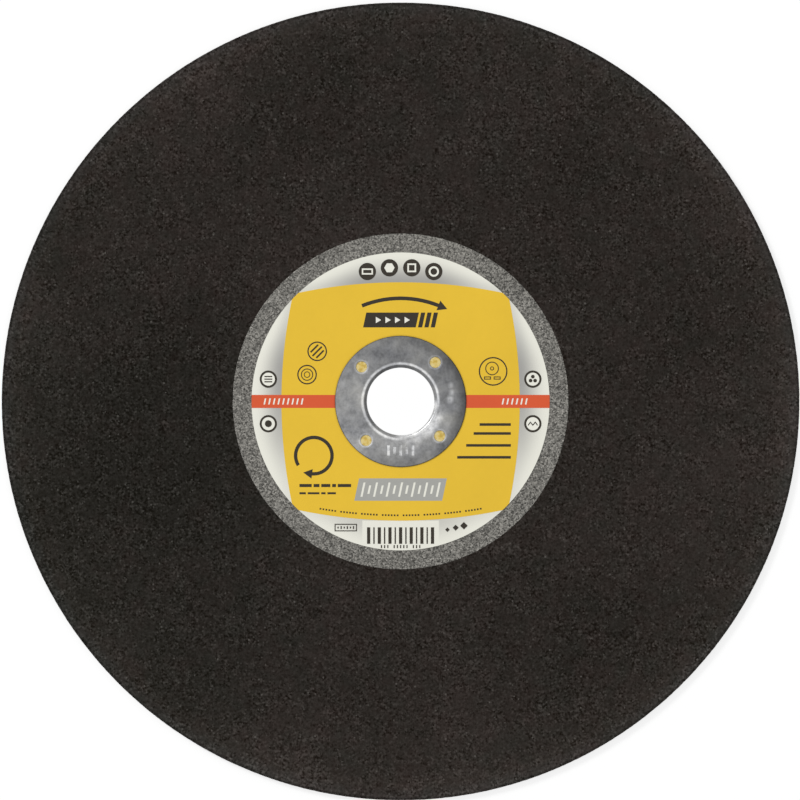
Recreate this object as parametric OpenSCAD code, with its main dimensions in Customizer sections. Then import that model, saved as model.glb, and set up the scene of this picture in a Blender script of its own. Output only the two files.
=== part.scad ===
// Flat cut-off wheel with a printed paper label and a drawn steel ring in its bore.
// Lengths are in millimetres. The wheel lies on its back face at z = 0, with the
// bore on the Z axis, the label facing up and the label's top towards +Y.

/* [Wheel] */
// Outer diameter of the abrasive disc
wheel_d = 300; // [260:1:340]
// Thickness of the abrasive disc
wheel_t = 2.5; // [2:0.1:4]
// Radius on the two edges of the rim
rim_edge_r = 0.3; // [0.1:0.05:0.8]

/* [Steel ring] */
// Diameter of the bore that goes on the machine's spindle
bore_d = 25.4; // [20:0.1:30]
// Thickness of the steel sheet
sheet_t = 0.4; // [0.3:0.05:0.5]
// Outer diameter of the flange on the label side
flange_d = 49.3; // [46:0.1:55]
// Radius of the blanked outer edge of the flange
flange_edge_r = 0.2; // [0.05:0.05:0.25]
// Outside radius of the bend from the flange into the bore
bend_r = 1.2; // [0.8:0.1:1.4]
// Outside radius of the lip that is rolled into the back edge of the bore
lip_r = 0.55; // [0.52:0.01:0.8]

/* [Punched holes] */
// Number of holes punched in the flange
hole_count = 4; // [3:1:6]
// Diameter of a punched hole at the bottom of the sheet
hole_d = 4.1; // [3:0.1:4.6]
// Diameter of its rolled-over mouth at the top of the sheet
hole_mouth_d = 5.1; // [4.7:0.1:5.6]
// Diameter of the circle that the holes' centres lie on
hole_circle_d = 39.2; // [37:0.1:40]
// Angle of the first hole, counted from +X
hole_start_angle = 48.5; // [0:0.5:90]

/* [Reinforcement and label] */
// Diameter of the grey reinforcement disc that is moulded in flush
reinforcement_d = 126.2; // [116:0.1:140]
// Thickness of the reinforcement disc
reinforcement_t = 0.3; // [0.2:0.05:0.6]
// Diameter of the paper label
label_d = 112; // [104:0.5:115]
// Thickness of the paper
label_t = 0.2; // [0.1:0.05:0.3]
// Thickness of the printed ink
ink_t = 0.05; // [0.03:0.01:0.1]

/* [Colour fields] */
// Height of the red band across the label
band_h = 4.9; // [3:0.1:7]
// Distance of the yellow field's sides from the centre, as a share of the label's radius
field_side_share = 0.8; // [0.76:0.01:0.83]
// Distance of the yellow field's corners from the centre, as a share of the label's radius
field_corner_share = 1.02; // [0.98:0.01:1.04]

/* [Grey scale plate] */
// Width of the grey plate under the ring
plate_w = 33; // [26:1:38]
// Height of the grey plate
plate_h = 8.4; // [6:0.2:10]
// Number of bare strokes that make its scale
stroke_count = 13; // [7:2:15]
// Width of a stroke
stroke_w = 0.8; // [0.4:0.1:1.2]
// Length of a long stroke
long_stroke = 5.4; // [3:0.2:5.6]
// Length of a short stroke
short_stroke = 3.2; // [2:0.2:4]

/* [Dark box] */
// Width of the dark box above the ring
box_w = 27; // [20:1:32]
// Height of the dark box
box_h = 5.6; // [4:0.2:7]
// Number of slanted stripes that are split off its right end
stripe_count = 3; // [1:1:5]
// Width of a slanted stripe
stripe_w = 1.6; // [0.8:0.1:2.4]
// Bare gap beside a slanted stripe
stripe_gap = 0.8; // [0.4:0.1:1.2]
// Slant of the box, the stripes and the grey plate
slant_angle = 12; // [0:1:20]

/* [Round marks] */
// Diameter of a dark round mark in the white segments
mark_d = 6.5; // [5:0.1:7.5]
// Distance between the centres of two neighbouring marks
mark_spacing = 8.4; // [8:0.1:9]

/* [Bar block] */
// Number of bars in the bottom white segment
bar_count = 13; // [7:2:15]
// Distance between the middles of two bars
bar_pitch = 2; // [1.6:0.1:2.2]
// Width of a wide bar
wide_bar_w = 1.2; // [0.8:0.1:1.5]
// Width of a narrow bar
narrow_bar_w = 0.5; // [0.3:0.1:0.8]
// Height of the bars
bar_h = 6.2; // [4:0.2:7]

/* [Outlined signs] */
// Radius of the large outlined circle, right of the ring
large_sign_r = 5.4; // [4:0.1:6]
// Radius of the two small outlined circles, left of the ring
small_sign_r = 3.7; // [3:0.1:4.2]
// Line width of the outlined circles
sign_line_w = 0.5; // [0.3:0.1:0.8]
// Radius of the turning-direction sign, at the lower left
turn_sign_r = 7.5; // [5:0.1:8.5]
// Line width of the turning-direction sign
turn_line_w = 1.3; // [0.8:0.1:2]
// Line width of the long curved arrow at the top
arrow_line_w = 1.4; // [0.8:0.1:2]
// Half of the angle that the long curved arrow covers
arrow_half_angle = 22; // [14:1:26]

/* [Plain rules] */
// Height of the plain printed rules at the lower right
rule_h = 1; // [0.6:0.1:1.6]

/* [Hidden] */
$fn = 180;

// Gap between the disc and the pieces that are pressed into it
seat_gap = 0.05;
// Gap between the rolled lip and the chamfer that it lies in
lip_gap = 0.1;
// Gap between the layers' holes and the start of the steel ring's bend
layer_gap = 0.1;
// How far every cut runs past the face that it opens
overrun = 1;

wheel_r = wheel_d / 2;
rim_round = min(rim_edge_r, wheel_t / 2);
label_r = label_d / 2;
flange_r = flange_d / 2;
reinforcement_r = reinforcement_d / 2;

// Heights of the stacked layers
recess_z = wheel_t - reinforcement_t;
label_z = wheel_t;
ink_z = label_z + label_t;
flange_z = ink_z + ink_t;
flange_top_z = flange_z + sheet_t;

// Section of the steel ring
bore_r = bore_d / 2;
collar_r = bore_r + sheet_t;
bend_x = bore_r + bend_r;
bend_z = flange_top_z - bend_r;
lip_x = bore_r + lip_r;

// Holes that the steel ring passes through
seat_r = collar_r + seat_gap;
layer_hole_r = bend_x + layer_gap;
lip_chamfer = lip_r + lip_gap;
bend_chamfer = max(recess_z - bend_z, seat_gap);

// Punched holes
hole_mouth_share = 0.6;
hole_mouth_z = flange_top_z - sheet_t * hole_mouth_share;

// Yellow field: four equal arcs that meet in corners on the label's diagonals
field_side_r = label_r * field_side_share;
field_corner_r = label_r * field_corner_share;
field_arc_x = (pow(field_corner_r, 2) - pow(field_side_r, 2))
    / (2 * field_side_r - sqrt(2) * field_corner_r);
field_arc_r = field_arc_x + field_side_r;

// Places on the label, as shares of the width between the flange and the label's edge
box_place_share = 0.19;
arrow_place_share = 0.45;
plate_place_share = 0.27;
sign_place_share = 0.38;
turn_place_share = 0.44;
large_sign_angle = 18;
small_sign_angles = [149, 164];
turn_sign_angle = 212;

// Round marks: a row at the top and one mark on each side of the band's ends
mark_ring_r = (field_side_r + label_r) / 2;
mark_step = 2 * asin(mark_spacing / 2 / mark_ring_r);
mark_angles = concat(
    [for (i = [-1.5 : 1.5]) 90 + i * mark_step],
    [for (side = [0, 180], i = [-1, 1]) side + i * mark_step]
);

// Plain rules, each ending on one line near the right edge
rule_end_share = 0.74;
rule_place_shares = [0.155, 0.215, 0.295, 0.375];
rule_length_shares = [0.21, 0.25, 0.3, 0.36];

// Angle of the turning sign's circle that stays open for its head
turn_open_angle = 50;
// Size of an arrow's head, as shares of its line
head_width_share = 2.8;
head_length_share = 2.6;
head_root_share = 0.25;
// Straight steps round the sector that cuts an arc out of a circle
sector_steps = 12;

// Distance from the centre at a share of the width between the flange and the label's edge
function place_r(share) = flange_r + share * (label_r - flange_r);

// Outline of a box whose upright sides lean to the right
module slanted_box(w, h) {
    lean = h / 2 * tan(slant_angle);
    polygon([
        [-w / 2 - lean, -h / 2], [w / 2 - lean, -h / 2],
        [w / 2 + lean, h / 2], [-w / 2 + lean, h / 2]
    ]);
}

// Outline of a circle drawn with a line that ends at its outside
module circle_line(r, line_w) {
    difference() {
        circle(r = r);
        circle(r = r - line_w);
    }
}

// Arc drawn with a line centred on r, from angle a0 to a1
module arc_line(r, line_w, a0, a1) {
    step = (a1 - a0) / sector_steps;
    reach = (r + line_w) / cos(step / 2);
    intersection() {
        circle_line(r + line_w / 2, line_w);
        polygon(concat(
            [[0, 0]],
            [for (i = [0 : sector_steps]) reach * [cos(a0 + i * step), sin(a0 + i * step)]]
        ));
    }
}

// Arrow that runs along a circle from angle a1 down to a0, where its head starts
module arc_arrow(r, line_w, a0, a1) {
    half_w = line_w * head_width_share / 2;
    arc_line(r, line_w, a0, a1);
    rotate(a0) translate([r, line_w * head_root_share])
        polygon([[-half_w, 0], [0, -line_w * head_length_share], [half_w, 0]]);
}

// Quarter of a bent sheet's section, between its upright and its level stretch
module bend_section(outer_r) {
    intersection() {
        circle_line(outer_r, sheet_t);
        translate([-outer_r, 0]) square(outer_r);
    }
}

// Section of the disc, from its bore to its rim, with both edges of the rim rounded
module disc_section() {
    difference() {
        union() {
            translate([seat_r, 0]) square([wheel_r - rim_round - seat_r, wheel_t]);
            translate([wheel_r - rim_round, rim_round])
                square([rim_round, wheel_t - 2 * rim_round]);
            for (z = [rim_round, wheel_t - rim_round])
                translate([wheel_r - rim_round, z]) circle(r = rim_round);
        }
        // Recess that holds the reinforcement flush with the face
        translate([0, recess_z]) square([reinforcement_r + seat_gap, reinforcement_t + overrun]);
        // Edge broken for the steel ring's bend
        polygon([
            [seat_r, recess_z - bend_chamfer],
            [seat_r + bend_chamfer + overrun, recess_z + overrun],
            [0, recess_z + overrun], [0, recess_z - bend_chamfer]
        ]);
        // Chamfer that the rolled lip lies in
        polygon([
            [seat_r, lip_chamfer], [0, lip_chamfer],
            [0, -overrun], [seat_r + lip_chamfer + overrun, -overrun]
        ]);
    }
}

// Section of the steel ring: flange, bend, collar and rolled lip
module ring_section() {
    translate([bend_x, flange_z]) square([flange_r - flange_edge_r - bend_x, sheet_t]);
    translate([flange_r - flange_edge_r, flange_z])
        square([flange_edge_r, sheet_t - flange_edge_r]);
    translate([flange_r - flange_edge_r, flange_top_z - flange_edge_r])
        circle(r = flange_edge_r);
    translate([bend_x, bend_z]) bend_section(bend_r);
    translate([bore_r, lip_r]) square([sheet_t, bend_z - lip_r]);
    translate([lip_x, lip_r]) mirror([0, 1]) bend_section(lip_r);
}

// Tool that punches one hole and rolls its mouth over
module punch() {
    rotate_extrude()
        polygon([
            [0, flange_z - overrun], [hole_d / 2, flange_z - overrun],
            [hole_d / 2, hole_mouth_z], [hole_mouth_d / 2, flange_top_z],
            [hole_mouth_d / 2, flange_top_z + overrun], [0, flange_top_z + overrun]
        ]);
}

module yellow_area() {
    intersection() {
        circle(r = label_r);
        intersection_for (a = [0 : 90 : 270])
            rotate(a) translate([-field_arc_x, 0]) circle(r = field_arc_r);
    }
}

module band_area() {
    intersection() {
        circle(r = label_r);
        translate([-label_r, -band_h / 2]) square([label_d, band_h]);
    }
}

// Place of the grey plate, under the ring
module at_plate() {
    translate([0, -place_r(plate_place_share)]) children();
}

// Bare strokes of the plate's scale, each other one short
module plate_strokes() {
    pitch = plate_w / (stroke_count + 1);
    for (i = [1 : stroke_count]) {
        stroke = i % 2 == 1 ? long_stroke : short_stroke;
        translate([i * pitch - plate_w / 2, 0]) slanted_box(stroke_w, stroke);
    }
}

// Dark box above the ring, with stripes split off its right end
module striped_box() {
    step = stripe_w + stripe_gap;
    solid_w = box_w - stripe_count * step;
    translate([0, place_r(box_place_share)]) {
        translate([(solid_w - box_w) / 2, 0]) slanted_box(solid_w, box_h);
        for (i = [0 : stripe_count - 1])
            translate([(box_w - stripe_w) / 2 - i * step, 0]) slanted_box(stripe_w, box_h);
    }
}

// Long curved arrow above the dark box, in the direction of turning
module long_arrow() {
    arc_arrow(
        place_r(arrow_place_share), arrow_line_w,
        90 - arrow_half_angle, 90 + arrow_half_angle
    );
}

// Open circle with an arrow head, in the direction of turning
module turn_sign() {
    rotate(turn_sign_angle) translate([place_r(turn_place_share), 0])
        arc_arrow(turn_sign_r - turn_line_w / 2, turn_line_w, turn_open_angle, 360);
}

module outlined_signs() {
    r = place_r(sign_place_share);
    rotate(large_sign_angle) translate([r, 0]) circle_line(large_sign_r, sign_line_w);
    for (a = small_sign_angles)
        rotate(a) translate([r, 0]) circle_line(small_sign_r, sign_line_w);
}

module round_marks() {
    for (a = mark_angles)
        rotate(a) translate([mark_ring_r, 0]) circle(d = mark_d);
}

// Row of upright bars, each other one narrow
module bar_block() {
    for (i = [0 : bar_count - 1]) {
        w = i % 2 == 0 ? wide_bar_w : narrow_bar_w;
        x = (i - (bar_count - 1) / 2) * bar_pitch;
        translate([x - w / 2, -mark_ring_r - bar_h / 2]) square([w, bar_h]);
    }
}

module plain_rules() {
    for (i = [0 : len(rule_place_shares) - 1]) {
        length = rule_length_shares[i] * label_r;
        translate([rule_end_share * label_r - length, -rule_place_shares[i] * label_r - rule_h / 2])
            square([length, rule_h]);
    }
}

module black_area() {
    striped_box();
    long_arrow();
    turn_sign();
    outlined_signs();
    plain_rules();
    round_marks();
    bar_block();
}

// One flat ink field, open where the steel ring passes through
module ink_field() {
    translate([0, 0, ink_z]) linear_extrude(ink_t)
        difference() {
            children();
            circle(r = layer_hole_r);
        }
}

module abrasive_disc() {
    color([0.17, 0.155, 0.145]) rotate_extrude() disc_section();
}

module hub_reinforcement() {
    color([0.45, 0.44, 0.42]) translate([0, 0, recess_z])
        difference() {
            cylinder(h = reinforcement_t, r = reinforcement_r);
            translate([0, 0, -overrun])
                cylinder(h = reinforcement_t + 2 * overrun, r = layer_hole_r);
        }
}

module paper_label() {
    color([0.89, 0.89, 0.85]) translate([0, 0, label_z])
        difference() {
            cylinder(h = label_t, r = label_r);
            translate([0, 0, -overrun]) cylinder(h = label_t + 2 * overrun, r = layer_hole_r);
        }
}

module yellow_print() {
    color([0.89, 0.745, 0.27]) ink_field()
        difference() {
            yellow_area();
            band_area();
            at_plate() slanted_box(plate_w, plate_h);
            black_area();
        }
}

module red_print() {
    color([0.8, 0.3, 0.2]) ink_field() band_area();
}

module grey_print() {
    color([0.63, 0.63, 0.61]) ink_field() at_plate()
        difference() {
            slanted_box(plate_w, plate_h);
            plate_strokes();
        }
}

module black_print() {
    color([0.2, 0.18, 0.15]) ink_field() black_area();
}

module centre_bushing() {
    color([0.56, 0.56, 0.54])
        difference() {
            rotate_extrude() ring_section();
            for (i = [0 : hole_count - 1])
                rotate(hole_start_angle + i * 360 / hole_count)
                    translate([hole_circle_d / 2, 0, 0]) punch();
        }
}

abrasive_disc();
hub_reinforcement();
paper_label();
yellow_print();
red_print();
grey_print();
black_print();
centre_bushing();
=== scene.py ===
"""Looks of the flat cut-off wheel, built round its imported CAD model.

Lengths in the property groups are in metres, as Blender shows them. The mesh code works in
millimetres, the unit of the CAD source, and turns them into metres when it makes a mesh.
"""

import math

import bmesh
import bpy
import numpy as np
from bpy.props import FloatProperty, FloatVectorProperty, IntProperty, PointerProperty
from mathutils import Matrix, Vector, geometry, noise


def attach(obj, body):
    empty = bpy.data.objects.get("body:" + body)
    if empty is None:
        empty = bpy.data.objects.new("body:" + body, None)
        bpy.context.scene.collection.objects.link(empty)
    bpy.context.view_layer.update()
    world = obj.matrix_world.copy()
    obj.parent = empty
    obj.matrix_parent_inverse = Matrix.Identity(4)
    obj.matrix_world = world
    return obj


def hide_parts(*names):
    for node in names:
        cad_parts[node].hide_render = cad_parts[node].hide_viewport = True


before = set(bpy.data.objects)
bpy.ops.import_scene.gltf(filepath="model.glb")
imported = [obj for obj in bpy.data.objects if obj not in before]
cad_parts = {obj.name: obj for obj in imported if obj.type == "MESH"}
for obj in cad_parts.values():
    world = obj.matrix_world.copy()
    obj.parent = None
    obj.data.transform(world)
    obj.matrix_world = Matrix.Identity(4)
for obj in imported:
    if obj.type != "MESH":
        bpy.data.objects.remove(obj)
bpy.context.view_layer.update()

bl_info = {
    "name": "Cut-off Wheel",
    "version": (1, 0, 0),
    "blender": (4, 5, 0),
    "location": "3D View > Sidebar > Wheel",
    "description": "Builds a flat cut-off wheel with a printed label and a pressed steel ring",
    "category": "Add Mesh",
}

MM = 0.001
BODY = "root"

# Radii and heights of the CAD model, in millimetres
WHEEL_R = 150.0
WHEEL_T = 2.5
RIM_ROUND = 0.3
SEAT_R = 13.15
SEAT_TOP = 1.95
LIP_CHAMFER = 0.65
RECESS_Z = 2.2
HUB_R = 63.1
SEAT_GAP = 0.05
LAYER_HOLE_R = 14.0
LABEL_R = 56.0
INK_Z = 2.7
INK_TOP = 2.75
RING_TOP = 3.15
RING_BORE_R = 12.7
RING_SHEET = 0.4
RING_OUTER_R = 24.65
RING_EDGE = 0.2
RING_BEND = 1.2
BEND_REACH = 2.1
RING_LIP = 0.55
HOLE_CIRCLE_R = 19.6
HOLE_START = 48.5
HOLE_COUNT = 4
HOLE_R = 2.05
MOUTH_R = 2.55
MOUTH_DEPTH = 0.24

# Strokes stamped in the flange: their place, spacing and size
STAMP_Y = -18.4
STAMP_PITCH = 2.3
STAMP_REACH = 5.2
STAMP_ROOM = 2.3
STAMP_LONG = 1.8
STAMP_SHORT = 1.15
STAMP_HALF_W = 0.42
STAMP_DEPTH = 0.06

# Yellow field: four circles of this radius, with their centres this far from the wheel's centre
FIELD_SIDE_R = 44.8
FIELD_CORNER_R = 57.12
FIELD_ARC_X = (FIELD_CORNER_R**2 - FIELD_SIDE_R**2) / (2 * FIELD_SIDE_R - math.sqrt(2) * FIELD_CORNER_R)
FIELD_ARC_R = FIELD_ARC_X + FIELD_SIDE_R

# Round marks and outlined signs of the label
MARK_RING_R = 50.4
MARK_STEP = math.degrees(2 * math.asin(8.4 / 2 / MARK_RING_R))
SIGN_RING_R = 36.563
LARGE_SIGN = 18.0
SMALL_SIGNS = (149.0, 164.0)
SLANT = math.tan(math.radians(12))

# Brightness of the grit over its radius, in metres: start, end and the factor at each
GRIT_BANDS = (
    (0.112, 0.1375, 1.03, 1.17),
    (0.1375, 0.1475, 1.0, 1.24),
    (0.1472, 0.1486, 1.0, 1.18),
    (0.1486, 0.1493, 1.0, 0.62),
)
# Tints, as factors or as colours of their own
RUDDY = (1.075, 0.985, 1.0)
GREEN = (0.925, 1.015, 1.0)
RIM_TINT = (1.0, 1.08, 1.14)
GLINT = (0.032, 0.031, 0.0285)
PAPER_SHADE = (0.45, 0.448, 0.475)
DUST = (0.78, 0.77, 0.52)
COOL_STEEL = (0.97, 0.985, 1.07)
WARM_STEEL = (1.01, 1.0, 1.0)
# Painted highlights on the flange, in millimetres: x, y, radius, and then the strength
STEEL_HIGHLIGHTS = ((18.8, 6.0, 1.5, 0.9), (19.1, 3.3, 1.6, 1.1), (18.6, 0.7, 1.9, 1.5))

# Lamp and camera, in metres, and the studio's brightness from the horizon, 0, to near the top, 1
KEY_PLACE = (-1.65, 1.45, 1.8)
KEY_SIZE = 0.8
CAMERA_X, CAMERA_Y = -0.00022, 0.00054
SKY_LEVELS = ((0.0, 1.0), (0.12, 1.0), (0.2, 0.44), (0.4, 0.44), (0.54, 0.82), (0.9, 0.82))
SKY_TOP = 0.97


class WheelColours(bpy.types.PropertyGroup):
    """Colours of the wheel's materials."""

    grit: FloatVectorProperty(
        name="Grit", description="Mean colour of the bonded grit",
        subtype="COLOR", size=3, min=0, max=1, default=(0.0199, 0.0166, 0.0141),
    )
    grey_grit: FloatVectorProperty(
        name="Grey grit", description="Mean colour of the grey hub disc",
        subtype="COLOR", size=3, min=0, max=1, default=(0.168, 0.162, 0.147),
    )
    paper: FloatVectorProperty(
        name="Paper", description="Colour of the label's bare paper",
        subtype="COLOR", size=3, min=0, max=1, default=(0.768, 0.761, 0.68),
    )
    yellow: FloatVectorProperty(
        name="Yellow ink", description="Colour of the large printed field",
        subtype="COLOR", size=3, min=0, max=1, default=(0.735, 0.475, 0.032),
    )
    red: FloatVectorProperty(
        name="Red ink", description="Colour of the band across the label",
        subtype="COLOR", size=3, min=0, max=1, default=(0.635, 0.092, 0.03),
    )
    grey: FloatVectorProperty(
        name="Grey ink", description="Colour of the plate under the ring",
        subtype="COLOR", size=3, min=0, max=1, default=(0.352, 0.352, 0.328),
    )
    black: FloatVectorProperty(
        name="Black ink", description="Colour of the dark marks",
        subtype="COLOR", size=3, min=0, max=1, default=(0.033, 0.027, 0.019),
    )
    steel: FloatVectorProperty(
        name="Steel", description="Reflected colour of the pressed ring",
        subtype="COLOR", size=3, min=0, max=1, default=(0.4, 0.4, 0.385),
    )


class WheelSurface(bpy.types.PropertyGroup):
    """Fine relief of the wheel's surfaces."""

    grain: FloatProperty(
        name="Grain size", description="Width of one abrasive grain",
        subtype="DISTANCE", unit="LENGTH", min=0.0002, max=0.003, default=0.00078,
    )
    rim_relief: FloatProperty(
        name="Rim relief", description="How far the rim is broken inwards between its grains",
        subtype="DISTANCE", unit="LENGTH", min=0, max=0.0003, default=0.0001,
    )
    face_wave: FloatProperty(
        name="Face wave", description="Depth of the slow unevenness of the moulded faces",
        subtype="DISTANCE", unit="LENGTH", min=0, max=0.0001, default=0.00004,
    )
    rim_segments: IntProperty(
        name="Rim segments", description="Steps round the rim, a multiple of 16",
        min=480, max=2400, default=1920,
    )
    ring_segments: IntProperty(
        name="Ring segments", description="Steps round the steel ring",
        min=96, max=480, default=320,
    )


class WheelStudio(bpy.types.PropertyGroup):
    """Camera and light."""

    camera_height: FloatProperty(
        name="Camera height", description="Height of the camera above the wheel's face",
        subtype="DISTANCE", unit="LENGTH", min=0.4, max=5, default=1.2,
    )
    frame_width: FloatProperty(
        name="Frame width", description="Width of the picture at the wheel's face",
        subtype="DISTANCE", unit="LENGTH", min=0.1, max=2, default=0.3007,
    )
    key_power: FloatProperty(
        name="Key lamp", description="Power of the soft lamp at the upper left",
        subtype="POWER", unit="POWER", min=0, max=200, default=42.0,
    )
    sky_level: FloatProperty(
        name="Sky level", description="Brightness of the studio straight above the wheel",
        min=0, max=2, default=0.52,
    )


class Wire:
    """One output of a material's nodes. Sums and products of these add the nodes that work them out."""

    def __init__(self, graph, socket):
        self.graph = graph
        self.socket = socket

    def join(self, operation, first, second):
        wide = any(
            isinstance(v, (tuple, Vector)) or isinstance(v, Wire) and v.socket.type in {"RGBA", "VECTOR"}
            for v in (first, second)
        )
        kind = "ShaderNodeVectorMath" if wide else "ShaderNodeMath"
        return self.graph.node(kind, {"operation": operation}, {0: first, 1: second})

    def __add__(self, other):
        return self.join("ADD", self, other)

    def __radd__(self, other):
        return self.join("ADD", other, self)

    def __sub__(self, other):
        return self.join("SUBTRACT", self, other)

    def __rsub__(self, other):
        return self.join("SUBTRACT", other, self)

    def __mul__(self, other):
        return self.join("MULTIPLY", self, other)

    def __rmul__(self, other):
        return self.join("MULTIPLY", other, self)

    def __truediv__(self, other):
        return self.join("DIVIDE", self, other)

    def __rtruediv__(self, other):
        return self.join("DIVIDE", other, self)

    def __pow__(self, other):
        return self.join("POWER", self, other)

    def __abs__(self):
        return self.join("ABSOLUTE", self, 0.0)


class Graph:
    """The nodes of one material or of the world."""

    def __init__(self, tree):
        self.tree = tree
        tree.nodes.clear()

    def node(self, kind, settings=None, inputs=None, output=0):
        """Adds a node, sets it up, fills its sockets with values or links, and returns one output."""
        made = self.tree.nodes.new(kind)
        for name, value in (settings or {}).items():
            if name == "stops":
                ramp = made.color_ramp.elements
                while len(ramp) < len(value):
                    ramp.new(0.5)
                for stop, (place, colour) in zip(ramp, value):
                    stop.position = place
                    stop.color = (*colour, 1.0)
            else:
                setattr(made, name, value)
        for name, value in (inputs or {}).items():
            socket = made.inputs[name]
            if isinstance(value, Wire):
                self.tree.links.new(value.socket, socket)
            elif isinstance(value, (tuple, Vector)) and socket.type == "RGBA":
                socket.default_value = (*value, 1.0)
            elif isinstance(value, (int, float)) and socket.type == "VECTOR":
                socket.default_value = (value,) * 3
            else:
                socket.default_value = value
        return Wire(self, made.outputs[output]) if made.outputs else None

    def place(self):
        """Point on the surface, in metres from the wheel's origin."""
        return self.node("ShaderNodeTexCoord", output="Object")

    def parts(self, wire):
        """The three numbers of a vector or colour."""
        split = self.node("ShaderNodeSeparateXYZ", {}, {0: wire}).socket.node
        return [Wire(self, split.outputs[i]) for i in range(3)]

    def radius(self, place):
        """Distance from the wheel's axis, in metres."""
        flat = place * (1.0, 1.0, 0.0)
        return self.node("ShaderNodeVectorMath", {"operation": "LENGTH"}, {0: flat}, "Value")

    def noise(self, place, size, detail=2.0, roughness=0.5, seed=0.0):
        """Soft noise from 0 to 1 whose blobs are about this size, in metres."""
        settings = {"noise_dimensions": "4D"}
        inputs = {"Vector": place, "W": seed, "Scale": 0.5 / size}
        inputs.update({"Detail": detail, "Roughness": roughness})
        return self.node("ShaderNodeTexNoise", settings, inputs)

    def cells(self, place, size, randomness=1.0):
        """Grains of about this size, in metres: distance to the grain's middle and its own colour."""
        inputs = {"Vector": place, "Scale": 1 / size, "Randomness": randomness}
        found = self.node("ShaderNodeTexVoronoi", {"feature": "F1"}, inputs).socket.node
        return Wire(self, found.outputs["Distance"]), Wire(self, found.outputs["Color"])

    def ramp(self, value, low, high, to_low=0.0, to_high=1.0):
        """Smooth step from to_low to to_high as the value goes from low to high."""
        inputs = {"Value": value, "From Min": low, "From Max": high, "To Min": to_low, "To Max": to_high}
        return self.node("ShaderNodeMapRange", {"interpolation_type": "SMOOTHSTEP"}, inputs)

    def fall(self, value, low, high):
        """Smooth step from 1 to 0 as the value goes from low to high."""
        return self.ramp(value, low, high, 1.0, 0.0)

    def mix(self, share, first, second):
        """Colour between two colours."""
        return self.node("ShaderNodeMix", {"data_type": "RGBA"}, {0: share, 6: first, 7: second}, 2)

    def clamp(self, value):
        """The value, held between 0 and 1."""
        return self.node("ShaderNodeClamp", {}, {"Value": value})

    def larger(self, first, second):
        """The larger of two numbers."""
        return self.node("ShaderNodeMath", {"operation": "MAXIMUM"}, {0: first, 1: second})

    def smaller(self, first, second):
        """The smaller of two numbers."""
        return self.node("ShaderNodeMath", {"operation": "MINIMUM"}, {0: first, 1: second})

    def facing(self, place, degrees):
        """1 on the side of the wheel at this angle round its axis, -1 on the far side."""
        x, y, _ = self.parts(place)
        turn = math.radians(degrees)
        return (x * math.cos(turn) + y * math.sin(turn)) / self.radius(place)

    def hole_distance(self, place):
        """Distance to the middle of the nearest punched hole. The four holes fold onto one."""
        x, y, _ = self.parts(place)
        turn = math.radians(-HOLE_START)
        along = abs(x * math.cos(turn) - y * math.sin(turn))
        across = abs(x * math.sin(turn) + y * math.cos(turn))
        near = self.larger(along, across) - HOLE_CIRCLE_R * MM
        side = self.smaller(along, across)
        return (near * near + side * side) ** 0.5

    def bump(self, height, depth):
        """Normal of a relief whose height from 0 to 1 stands for this depth, in metres."""
        return self.node("ShaderNodeBump", {}, {"Height": height, "Strength": 1.0, "Distance": depth})

    def surface(self, **inputs):
        """Ends the material with one principled shader."""
        names = {
            "colour": "Base Color", "roughness": "Roughness", "metallic": "Metallic",
            "normal": "Normal", "gloss": "Specular IOR Level",
        }
        sockets = {names[k]: v for k, v in inputs.items()}
        shader = self.node("ShaderNodeBsdfPrincipled", {}, sockets)
        self.node("ShaderNodeOutputMaterial", {}, {"Surface": shader})


def new_graph(name):
    """An empty material of this name and its graph."""
    material = bpy.data.materials.new(name)
    material.use_nodes = True
    return material, Graph(material.node_tree)


def tinted(colour, factors):
    """A colour times a tint."""
    return tuple(c * f for c, f in zip(colour, factors))


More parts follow.
